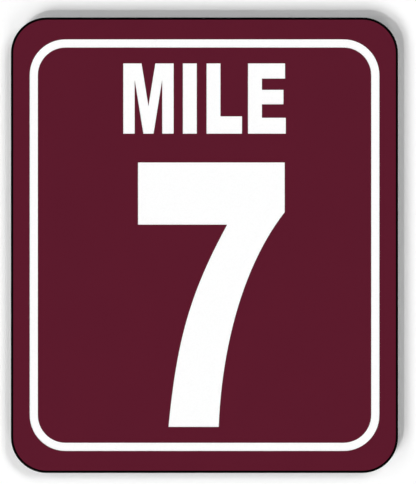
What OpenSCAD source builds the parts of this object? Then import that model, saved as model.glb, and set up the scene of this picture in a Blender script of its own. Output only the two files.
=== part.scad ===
// Mile marker sign: a flat sheet blank faced with white sheeting, and a coloured overlay film on it whose
// openings let the white show as the border line, the word and the numeral.
// Millimetres. The origin is the centre of the back face, +Z is up, the printed face looks towards -Y
// and +X is to the reader's right. The front view is drawn in 2D as x and z, then laid up layer by layer.

/* [Blank] */
// Width of the sign
sign_w = 215.9; // [180:0.1:320]
// Height of the sign
sign_h = 254; // [240:0.1:400]
// Radius of the blank's corners
corner_r = 20; // [8:0.5:40]
// Thickness of the sheet
blank_t = 3.175; // [1.6:0.005:6.4]
// Ease taken off the edges of the sheet, front and back
edge_ease = 0.1; // [0.05:0.05:0.6]

/* [Sheeting and films] */
// Thickness of the white sheeting
sheeting_t = 0.3; // [0.2:0.05:0.6]
// Thickness of the overlay film, the same for the ground and the edge line
film_t = 0.1; // [0.05:0.05:0.3]
// Width of the black line round the rim
edge_line_w = 1.3; // [0.5:0.1:5]

/* [Border line] */
// From the sign's side edges to the border line
border_side_inset = 10.5; // [8:0.1:16]
// From the sign's top and bottom edges to the border line
border_end_inset = 12.3; // [8:0.1:16]
// Width of the border line
border_w = 4.6; // [2:0.1:8]
// Outer corner radius of the border line
border_r = 20; // [10:0.5:36]

/* [Word] */
// Height of the letters
letter_h = 39.2; // [34:0.1:44]
// Width of the upright strokes of I, L and E
stem_w = 7.8; // [5:0.1:9]
// Width of the M
m_w = 28.1; // [26:0.1:32]
// Width of the M's two uprights
m_stem_w = 6.4; // [4:0.1:7]
// Width of the flat at the foot of the M's middle
m_point_w = 5.7; // [3:0.1:7]
// Width of the L
l_w = 19.8; // [16:0.1:24]
// Height of the L's foot
l_foot_h = 9.7; // [6:0.1:12]
// Length of the E's top arm, from its left side
e_top_w = 20.7; // [16:0.1:24]
// Length of the E's middle arm, from its left side
e_mid_w = 19.8; // [14:0.1:23]
// Length of the E's bottom arm, from its left side
e_low_w = 21.1; // [16:0.1:24]
// Height of the E's top arm
e_top_h = 8.5; // [6:0.1:9]
// Height of the E's middle arm
e_mid_h = 8.1; // [6:0.1:9]
// Height of the E's bottom arm
e_low_h = 8.9; // [6:0.1:9]
// Space between M and I
gap_mi = 5.1; // [3:0.1:8]
// Space between I and L
gap_il = 5.4; // [3:0.1:8]
// Space between L and E
gap_le = 3.3; // [2:0.1:8]

/* [Numeral] */
// Height of the numeral
numeral_h = 147.4; // [130:0.1:155]
// Width of the numeral's bar
numeral_w = 81.8; // [70:0.1:95]
// Height of the numeral's bar
bar_h = 34.7; // [26:0.1:42]
// Height of the straight right end of the bar, above the curved stroke
bar_end_h = 27.7; // [20:0.1:36]
// From the bar's left end to the foot
foot_x = 17; // [12:0.1:24]
// Width of the foot
foot_w = 28; // [20:0.1:34]
// From the bar's left end to where the stroke's inner side leaves the bar
crotch_x = 49.7; // [46:0.1:58]
// Space between the word and the numeral
legend_gap = 16; // [10:0.1:20]
// How far the middle of the bar lies right of the sign's centre line
numeral_shift = 3.8; // [0:0.1:8]

/* [Hidden] */
$fn = 128;

// The M's shoulders are as much wider than its uprights as parallel diagonals need, and the two depths are
// shares of the letter's height
m_notch_d = 0.605 * letter_h;
m_shoulder_d = 0.239 * letter_h;
m_slope = (m_w / 2 - m_point_w / 2 - m_stem_w) / (letter_h - m_shoulder_d);

// Space left over between the E's arms, and the lower gap's share of it
e_gaps = letter_h - e_top_h - e_mid_h - e_low_h;
e_low_gap = 0.545 * e_gaps;

// Left edge of each letter, counted from the left edge of the word
word_w = m_w + gap_mi + stem_w + gap_il + l_w + gap_le + e_low_w;
i_x = m_w + gap_mi;
l_x = i_x + stem_w + gap_il;
e_x = l_x + l_w + gap_le;

// The word and the numeral stand centred on the sign as one block
legend_h = letter_h + legend_gap + numeral_h;
word_z = legend_h / 2 - letter_h;
numeral_z = -legend_h / 2;
numeral_x = numeral_shift - numeral_w / 2;

// Each side of the numeral's stroke is one cubic curve. Its two handles are placed as shares of the way
// across and the way down from the curve's start to its end
inner_handles = [[0.626, 0.336], [0.856, 0.563]];
outer_handles = [[0.600, 0.235], [0.949, 0.605]];
curve_steps = 24;

// Point at t on the cubic curve from a to b
function stroke_point(a, b, handles, t) =
    let (across = b[0] - a[0], down = b[1] - a[1],
         p = [a[0] + handles[0][0] * across, a[1] + handles[0][1] * down],
         q = [a[0] + handles[1][0] * across, a[1] + handles[1][1] * down],
         s = 1 - t)
    s * s * s * a + 3 * s * s * t * p + 3 * s * t * t * q + t * t * t * b;

// All points of one side of the stroke, from a to b
function stroke_side(a, b, handles) =
    [for (i = [0:curve_steps]) stroke_point(a, b, handles, i / curve_steps)];

// The same points, from b back to a
function reversed(points) = [for (i = [len(points) - 1:-1:0]) points[i]];

// Rounded rectangle centred on the face
module rounded(w, h, r) {
    square([w - 2 * r, h], center = true);
    square([w, h - 2 * r], center = true);
    for (x = [-1, 1], z = [-1, 1])
        translate([x * (w / 2 - r), z * (h / 2 - r)]) circle(r);
}

// Outline of the face, drawn in by a margin from the edge of the blank
module face_outline(margin) {
    rounded(sign_w - 2 * margin, sign_h - 2 * margin, corner_r - margin);
}

// White line that runs round inside the edge
module border_line() {
    w = sign_w - 2 * border_side_inset;
    h = sign_h - 2 * border_end_inset;
    difference() {
        rounded(w, h, border_r);
        rounded(w - 2 * border_w, h - 2 * border_w, border_r - border_w);
    }
}

module letter_m() {
    mid = m_w / 2;
    shoulder_w = mid - m_notch_d * m_slope;
    difference() {
        square([m_w, letter_h]);
        // Notch in the top
        polygon([[shoulder_w, letter_h], [mid, letter_h - m_notch_d], [m_w - shoulder_w, letter_h]]);
        // Openings from below, on each side of the middle
        m_opening();
        translate([m_w, 0]) mirror([1, 0]) m_opening();
    }
}

// Opening between the M's left upright and its middle
module m_opening() {
    polygon([[m_stem_w, 0], [m_stem_w, letter_h - m_shoulder_d], [m_w / 2 - m_point_w / 2, 0]]);
}

module letter_i() {
    square([stem_w, letter_h]);
}

module letter_l() {
    square([stem_w, letter_h]);
    square([l_w, l_foot_h]);
}

module letter_e() {
    square([stem_w, letter_h]);
    square([e_low_w, e_low_h]);
    translate([0, e_low_h + e_low_gap]) square([e_mid_w, e_mid_h]);
    translate([0, letter_h - e_top_h]) square([e_top_w, e_top_h]);
}

// The word, centred across the sign
module word() {
    translate([-word_w / 2, word_z]) {
        letter_m();
        translate([i_x, 0]) letter_i();
        translate([l_x, 0]) letter_l();
        translate([e_x, 0]) letter_e();
    }
}

// The numeral: a bar, and a stroke that sweeps down from its right end and narrows to the foot
module numeral() {
    outer = stroke_side([numeral_w, numeral_h - bar_end_h], [foot_x + foot_w, 0], outer_handles);
    inner = stroke_side([crotch_x, numeral_h - bar_h], [foot_x, 0], inner_handles);
    bar = [[0, numeral_h - bar_h], [0, numeral_h], [numeral_w, numeral_h]];
    translate([numeral_x, numeral_z]) polygon(concat(bar, outer, reversed(inner)));
}

// Stands a flat outline up as a layer of thickness t, its back a distance y in front of the blank's back
module layer(y, t) {
    translate([0, -y, 0]) rotate([90, 0, 0]) linear_extrude(t) children();
}

// Half section of the sheet: x runs from the middle out to the eased edge, y from the back to the front
module eased_half(reach) {
    polygon([
        [0, 0], [reach - edge_ease, 0], [reach, edge_ease],
        [reach, blank_t - edge_ease], [reach - edge_ease, blank_t], [0, blank_t]
    ]);
}

// Straight run of the sheet from its middle out to one eased edge, lying with its front up
module eased_run(reach, length) {
    rotate([90, 0, 0]) linear_extrude(length, center = true) eased_half(reach);
}

// The blank: a straight run out to each edge, and a turned quarter at each corner
module blank() {
    corners = [[1, 1], [-1, 1], [-1, -1], [1, -1]];
    color("#a8a8a8") rotate([90, 0, 0]) {
        for (turn = [0, 180]) rotate(turn) eased_run(sign_w / 2, sign_h - 2 * corner_r);
        for (turn = [90, 270]) rotate(turn) eased_run(sign_h / 2, sign_w - 2 * corner_r);
        for (i = [0:3])
            translate([corners[i][0] * (sign_w / 2 - corner_r), corners[i][1] * (sign_h / 2 - corner_r), 0])
                rotate(90 * i) rotate_extrude(angle = 90) eased_half(corner_r);
    }
}

// White sheeting over the whole flat of the blank
module white_sheeting() {
    color("#ffffff") layer(blank_t, sheeting_t) face_outline(edge_ease);
}

// Maroon overlay film, with the border line, the word and the numeral cut out of it
module ground_film() {
    color("#5b1b2c") layer(blank_t + sheeting_t, film_t) difference() {
        face_outline(edge_ease + edge_line_w);
        border_line();
        word();
        numeral();
    }
}

// Black line round the rim, outside the maroon
module edge_line() {
    color("#101010") layer(blank_t + sheeting_t, film_t) difference() {
        face_outline(edge_ease);
        face_outline(edge_ease + edge_line_w);
    }
}

blank();
white_sheeting();
ground_film();
edge_line();
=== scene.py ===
import math

import bpy
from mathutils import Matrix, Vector


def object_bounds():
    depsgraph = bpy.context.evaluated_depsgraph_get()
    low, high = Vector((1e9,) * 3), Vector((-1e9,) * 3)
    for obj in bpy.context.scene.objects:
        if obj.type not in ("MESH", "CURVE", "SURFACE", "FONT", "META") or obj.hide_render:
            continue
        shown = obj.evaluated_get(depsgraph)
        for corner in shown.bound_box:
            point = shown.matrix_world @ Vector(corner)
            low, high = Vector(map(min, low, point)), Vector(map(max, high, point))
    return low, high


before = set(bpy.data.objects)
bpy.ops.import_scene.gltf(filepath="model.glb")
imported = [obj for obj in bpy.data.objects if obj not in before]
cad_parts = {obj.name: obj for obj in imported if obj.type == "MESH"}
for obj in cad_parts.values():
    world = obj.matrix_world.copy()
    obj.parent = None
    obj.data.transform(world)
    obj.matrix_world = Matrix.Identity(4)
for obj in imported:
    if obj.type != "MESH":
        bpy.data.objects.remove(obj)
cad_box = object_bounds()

# The blank: aluminium sheet of sign gauge, cut to its outline with rounded corners and deburred.
# It is left bare. Its rolled back shows faint streaks along the rolling direction, and its cut edges
# are duller, with the marks of the tool running round them.
MM = 0.001
ALUMINIUM = "#e2e4e6"
ALUMINIUM_SHADE = "#b4b7ba"
ROLLED_ROUGHNESS = (0.26, 0.42)
ROLL_STREAK_WIDTH = 1.6 * MM    # real streaks are about 0.1 mm wide, drawn this coarse to show
ROLL_STREAK_LENGTH = 90 * MM
STAIN_SIZE = 45 * MM
STAIN_SHARE = 0.5               # of the tone, the rest being streaks or tool marks
CUT_ALUMINIUM = "#c8c9cb"
CUT_SHADE = "#adaeb0"
CUT_ROUGHNESS = (0.6, 0.75)
TOOL_MARK_PITCH = 0.35 * MM
TOOL_MARK_LENGTH = 6 * MM
MARK_DEPTH = 0.006 * MM         # of streaks and tool marks alike
MARK_STRENGTH = 0.6
NOISE_SPAN = (0.3, 0.7)         # the part of 0 to 1 that a noise pattern mostly keeps to
CUT_TO_ROLLED = (0.3, 0.6)      # how squarely a surface faces front or back, from cut edge to rolled flat


def linear(colour):
    """An sRGB hex colour as the linear red, green, blue and alpha that a colour socket takes."""
    parts = [int(colour[i:i + 2], 16) / 255 for i in (1, 3, 5)]
    return [c / 12.92 if c <= 0.04045 else ((c + 0.055) / 1.055) ** 2.4 for c in parts] + [1.0]


def add(tree, kind, settings=None, links=None):
    """Adds one shader node. Settings are its properties or its inputs' values, and links feed its inputs.

    A Mix node's sockets go by number: its factor is 0, the two numbers that it mixes are 2 and 3, and the
    two colours are 6 and 7, with the mixed colour at output 2.
    """
    made = tree.nodes.new("ShaderNode" + kind)
    for name, value in (settings or {}).items():
        if isinstance(name, str) and hasattr(made, name):
            setattr(made, name, value)
        else:
            made.inputs[name].default_value = value
    for name, source in (links or {}).items():
        tree.links.new(source, made.inputs[name])
    return made


def new_material(name):
    """An empty material, with its node tree and its output node."""
    material = bpy.data.materials.new(name)
    material.use_nodes = True
    material.node_tree.nodes.clear()
    return material, material.node_tree, add(material.node_tree, "OutputMaterial")


def dress(node, material):
    """Gives a CAD node its one material."""
    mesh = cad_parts[node].data
    mesh.materials.clear()
    mesh.materials.append(material)


def mill_finish_aluminium():
    """Bare rolled aluminium: bright, streaked one way, softly blurred, and duller where it was cut."""
    material, tree, output = new_material("mill_finish_aluminium")
    place = add(tree, "TexCoord").outputs["Object"]

    # The rolling direction is up the sign, and the tool went round it
    along_roll = add(tree, "Mapping",
                     {"Scale": (1 / ROLL_STREAK_WIDTH, 1 / ROLL_STREAK_WIDTH, 1 / ROLL_STREAK_LENGTH)},
                     {"Vector": place})
    streaks = add(tree, "TexNoise", {"Scale": 1.0, "Detail": 4.0, "Roughness": 0.6},
                  {"Vector": along_roll.outputs[0]})
    round_edge = add(tree, "Mapping",
                     {"Scale": (1 / TOOL_MARK_LENGTH, 1 / TOOL_MARK_PITCH, 1 / TOOL_MARK_LENGTH)},
                     {"Vector": place})
    tool_marks = add(tree, "TexNoise", {"Scale": 1.0, "Detail": 3.0}, {"Vector": round_edge.outputs[0]})
    stains = add(tree, "TexNoise", {"Scale": 1 / STAIN_SIZE, "Detail": 2.0}, {"Vector": place})

    # A surface that faces front or back was rolled, and one that faces sideways was cut
    normal = add(tree, "SeparateXYZ", links={0: add(tree, "NewGeometry").outputs["Normal"]})
    faces_y = add(tree, "Math", {"operation": "ABSOLUTE"}, {0: normal.outputs["Y"]})
    is_rolled = add(tree, "MapRange", {"From Min": CUT_TO_ROLLED[0], "From Max": CUT_TO_ROLLED[1]},
                    {"Value": faces_y.outputs[0]})
    grain = add(tree, "Mix", {"data_type": "FLOAT"},
                {0: is_rolled.outputs[0], 2: tool_marks.outputs["Fac"], 3: streaks.outputs["Fac"]})

    rolled_roughness = add(tree, "MapRange",
                           {"From Min": NOISE_SPAN[0], "From Max": NOISE_SPAN[1],
                            "To Min": ROLLED_ROUGHNESS[0], "To Max": ROLLED_ROUGHNESS[1]},
                           {"Value": streaks.outputs["Fac"]})
    cut_roughness = add(tree, "MapRange",
                        {"From Min": NOISE_SPAN[0], "From Max": NOISE_SPAN[1],
                         "To Min": CUT_ROUGHNESS[0], "To Max": CUT_ROUGHNESS[1]},
                        {"Value": tool_marks.outputs["Fac"]})
    roughness = add(tree, "Mix", {"data_type": "FLOAT"},
                    {0: is_rolled.outputs[0], 2: cut_roughness.outputs[0], 3: rolled_roughness.outputs[0]})

    tone = add(tree, "Mix", {"data_type": "FLOAT", 0: STAIN_SHARE},
               {2: grain.outputs[0], 3: stains.outputs["Fac"]})
    rolled = add(tree, "Mix", {"data_type": "RGBA", 6: linear(ALUMINIUM_SHADE), 7: linear(ALUMINIUM)},
                 {0: tone.outputs[0]})
    cut = add(tree, "Mix", {"data_type": "RGBA", 6: linear(CUT_SHADE), 7: linear(CUT_ALUMINIUM)},
              {0: tone.outputs[0]})
    colour = add(tree, "Mix", {"data_type": "RGBA"},
                 {0: is_rolled.outputs[0], 6: cut.outputs[2], 7: rolled.outputs[2]})

    bump = add(tree, "Bump", {"Strength": MARK_STRENGTH, "Distance": MARK_DEPTH},
               {"Height": grain.outputs[0]})
    surface = add(tree, "BsdfPrincipled", {"Metallic": 1.0},
                  {"Base Color": colour.outputs[2], "Roughness": roughness.outputs[0],
                   "Normal": bump.outputs[0]})
    tree.links.new(surface.outputs[0], output.inputs["Surface"])
    return material


dress("blank", mill_finish_aluminium())

# The white sheeting: self-adhesive reflective vinyl, laid over the whole front of the blank and trimmed
# flush. It shows only where the film over it is cut away. Its top film is smooth and semi-gloss, over a
# very fine grain of glass beads.
WHITE = "#ffffff"
WHITE_SHADE = "#fafafa"
BEAD_GRAIN = 0.7 * MM           # real beads are about 0.06 mm, drawn this coarse to show
BEAD_DEPTH = 0.004 * MM
BEAD_STRENGTH = 0.5
VINYL_IOR = 1.5
SHEETING_ROUGHNESS = 0.38


def beaded_white_vinyl():
    """White sheeting: a bright even white, with beads that break its gloss up finely."""
    material, tree, output = new_material("beaded_white_vinyl")
    place = add(tree, "TexCoord").outputs["Object"]
    beads = add(tree, "TexVoronoi", {"Scale": 1 / BEAD_GRAIN}, {"Vector": place})
    colour = add(tree, "Mix", {"data_type": "RGBA", 6: linear(WHITE), 7: linear(WHITE_SHADE)},
                 {0: beads.outputs["Distance"]})
    bump = add(tree, "Bump", {"Strength": BEAD_STRENGTH, "Distance": BEAD_DEPTH},
               {"Height": beads.outputs["Distance"]})
    surface = add(tree, "BsdfPrincipled", {"IOR": VINYL_IOR, "Roughness": SHEETING_ROUGHNESS},
                  {"Base Color": colour.outputs[2], "Normal": bump.outputs[0]})
    tree.links.new(surface.outputs[0], output.inputs["Surface"])
    return material


dress("white_sheeting", beaded_white_vinyl())

# The ground film: transparent maroon overlay film, cut on a plotter and rolled on over the sheeting. The
# border line, the word and the numeral are weeded out of it. Rolling it down leaves a faint orange peel
# in its gloss, and its dye is very slightly uneven.
MAROON = "#5c1b2c"
MAROON_DEEP = "#591a2b"
DYE_CLOUD_SIZE = 30 * MM
PEEL_SIZE = 2.2 * MM
PEEL_DEPTH = 0.012 * MM
PEEL_STRENGTH = 0.5
FILM_ROUGHNESS = 0.2


def overlay_film(name, light, deep):
    """Glossy cut film of one dye, from its lighter to its deeper tone."""
    material, tree, output = new_material(name)
    place = add(tree, "TexCoord").outputs["Object"]
    clouds = add(tree, "TexNoise", {"Scale": 1 / DYE_CLOUD_SIZE, "Detail": 3.0}, {"Vector": place})
    peel = add(tree, "TexNoise", {"Scale": 1 / PEEL_SIZE, "Detail": 2.0}, {"Vector": place})
    colour = add(tree, "Mix", {"data_type": "RGBA", 6: linear(light), 7: linear(deep)},
                 {0: clouds.outputs["Fac"]})
    bump = add(tree, "Bump", {"Strength": PEEL_STRENGTH, "Distance": PEEL_DEPTH},
               {"Height": peel.outputs["Fac"]})
    surface = add(tree, "BsdfPrincipled", {"IOR": VINYL_IOR, "Roughness": FILM_ROUGHNESS},
                  {"Base Color": colour.outputs[2], "Normal": bump.outputs[0]})
    tree.links.new(surface.outputs[0], output.inputs["Surface"])
    return material


dress("ground_film", overlay_film("maroon_overlay_film", MAROON, MAROON_DEEP))

# The edge line: a narrow strip of the same overlay film in black, laid round the rim of the face
# and butted against the maroon.
BLACK = "#060606"
BLACK_DEEP = "#020202"

dress("edge_line", overlay_film("black_overlay_film", BLACK, BLACK_DEEP))

# The wall that the sign is taped to, and a floor under it: both plain and white, and neither is part of
# the object. The wall takes the sign's shadow. It is seen from its front only, so that the back of the
# sign can be looked at.
TAPE_GAP = 0.8 * MM
WALL_SIZE = (1200 * MM, 700 * MM)
FLOOR_DROP = 1500 * MM
FLOOR_SIZE = (8000 * MM, 8000 * MM)
LEVEL = 0
UPRIGHT = 90
PAINT = "#fafafa"
RAYS = ("camera", "diffuse", "glossy", "shadow", "transmission")


def panel(name, size, centre, tilt, material, seen_by):
    """A flat stage panel, tilted up from level by some degrees, that only one kind of ray meets."""
    bpy.ops.mesh.primitive_plane_add(size=1, location=centre, rotation=(math.radians(tilt), 0, 0))
    made = bpy.context.object
    made.name = name
    made.scale = (size[0], size[1], 1)
    made.data.materials.append(material)
    for ray in RAYS:
        setattr(made, "visible_" + ray, ray == seen_by)


def matt_wall_paint():
    """Matt white paint that is clear from behind."""
    material, tree, output = new_material("matt_wall_paint")
    paint = add(tree, "BsdfDiffuse", {"Color": linear(PAINT)})
    clear = add(tree, "BsdfTransparent")
    behind = add(tree, "NewGeometry").outputs["Backfacing"]
    surface = add(tree, "MixShader", links={0: behind, 1: paint.outputs[0], 2: clear.outputs[0]})
    tree.links.new(surface.outputs[0], output.inputs["Surface"])
    return material


def even_level(name, level):
    """A flat tone that stays the same however much light falls on it: 1 is white, 0 is black."""
    material, tree, output = new_material(name)
    material.cycles.emission_sampling = "NONE"
    surface = add(tree, "Emission", {"Strength": level})
    tree.links.new(surface.outputs[0], output.inputs["Surface"])
    return material


panel("wall", WALL_SIZE, (0, TAPE_GAP, 0), UPRIGHT, matt_wall_paint(), "camera")
panel("floor", FLOOR_SIZE, (0, 0, -FLOOR_DROP), LEVEL, even_level("white_floor", 1.0), "camera")
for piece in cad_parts.values():
    piece.visible_diffuse = False    # the sign's bright edges throw no light back on the wall

# The lamps: a key and a ring of softboxes, named by where they stand round the sign as on a clock face.
# Together they light the face at one plain level. The gloss doesn't mirror them, because their glare
# would hide the face from some sides.
FACE_LEVEL = 1.06               # a little over 1, for what the gloss of the vinyl keeps from its colour
rim_depth = TAPE_GAP - cad_box[0].y


def lamp(name, share, shadow_right, shadow_up, spread):
    """A distant lamp, set by its share of the face's level, by the shadow that it throws, and by its size.

    The shadow is that of the face's rim on the wall, in millimetres right and up. The size is an angle in
    degrees, and a larger one gives a softer shadow.
    """
    beam = Vector((shadow_right * MM, rim_depth, shadow_up * MM))
    light = bpy.data.lights.new(name, "SUN")
    light.energy = FACE_LEVEL * share * math.pi * beam.length / rim_depth
    light.angle = math.radians(spread)
    made = bpy.data.objects.new(name, light)
    made.rotation_euler = beam.to_track_quat("-Z", "Y").to_euler()
    made.visible_glossy = False
    bpy.context.scene.collection.objects.link(made)


lamp("key", 0.19, 3.9, 4.8, 0.6)
lamp("softbox_at_7", 0.125, 5.4, 9, 10)
lamp("softbox_at_8", 0.181, 7.6, 6.9, 13)
lamp("softbox_at_9", 0.057, 8.5, 1.5, 4)
lamp("softbox_at_10", 0.057, 9.3, -3.4, 16)
lamp("softbox_at_5", 0.114, -3.9, 10.6, 22)
lamp("softbox_at_2", 0.138, -6.1, -2.8, 18)
lamp("softbox_at_1", 0.138, -3.8, -5.1, 19)

# The world: white wherever it is looked at or mirrored, and light on surfaces only from behind the sign,
# where it fills the bare back. What is mirrored is dimmer low down, as in a room. A black card in front
# keeps that white out of the face's gloss.
BEHIND = (0.0, 0.6)             # how far back a direction points, from no light to full light
FALL_OFF = (-0.6, 0.5)          # how high a direction points, from the dimmest to white
DIMMEST = 0.45
CARD_DISTANCE = 1000 * MM
CARD_SIZE = (3200 * MM, 3200 * MM)

world = bpy.data.worlds.new("studio")
bpy.context.scene.world = world
world.use_nodes = True
sky = world.node_tree
sky.nodes.clear()
path = add(sky, "LightPath")
direction = add(sky, "SeparateXYZ", links={0: add(sky, "TexCoord").outputs["Generated"]})
from_behind = add(sky, "MapRange", {"From Min": BEHIND[0], "From Max": BEHIND[1]},
                  {"Value": direction.outputs["Y"]})

# A ray that mirrors the world, but not one that starts from a matt surface
gloss = add(sky, "Math", {"operation": "SUBTRACT", "use_clamp": True},
            {0: path.outputs["Is Glossy Ray"], 1: path.outputs["Diffuse Depth"]})
fall_off = add(sky, "MapRange",
               {"From Min": FALL_OFF[0], "From Max": FALL_OFF[1], "To Min": DIMMEST, "To Max": 1.0},
               {"Value": direction.outputs["Z"]})
mirrored = add(sky, "Math", {"operation": "MULTIPLY"}, {0: gloss.outputs[0], 1: fall_off.outputs[0]})
seen = add(sky, "Math", {"operation": "MAXIMUM"},
           {0: path.outputs["Is Camera Ray"], 1: path.outputs["Is Transmission Ray"]})
shown = add(sky, "Math", {"operation": "MAXIMUM"}, {0: seen.outputs[0], 1: mirrored.outputs[0]})
strength = add(sky, "Math", {"operation": "MAXIMUM"}, {0: shown.outputs[0], 1: from_behind.outputs[0]})
background = add(sky, "Background", {"Color": linear(WHITE)}, {"Strength": strength.outputs[0]})
sky.links.new(background.outputs[0], add(sky, "OutputWorld").inputs["Surface"])
panel("black_card", CARD_SIZE, (0, -CARD_DISTANCE, 0), UPRIGHT, even_level("black_card", 0.0), "glossy")

# The camera: square on to the face, as the drawing is, through a long lens. It stands a little right of
# and above the sign's centre, which puts the sign where the picture has it.
PICTURE = (416, 484)            # pixels across and down
SIGN_AT = (204.5, 245.2)        # the sign's centre in it
MM_PER_PIXEL = 0.5572
FOCAL_LENGTH = 135
SENSOR_SIZE = 36

lens = bpy.data.cameras.new("camera")
lens.lens = FOCAL_LENGTH
lens.sensor_width = SENSOR_SIZE
camera = bpy.data.objects.new("camera", lens)
bpy.context.scene.collection.objects.link(camera)
bpy.context.scene.camera = camera
camera.location = (
    (PICTURE[0] / 2 - SIGN_AT[0]) * MM_PER_PIXEL * MM,
    cad_box[0].y - PICTURE[1] * MM_PER_PIXEL * MM * FOCAL_LENGTH / SENSOR_SIZE,
    (SIGN_AT[1] - PICTURE[1] / 2) * MM_PER_PIXEL * MM,
)
camera.rotation_euler = (math.radians(UPRIGHT), 0, 0)

bpy.context.scene.view_settings.view_transform = "Standard"
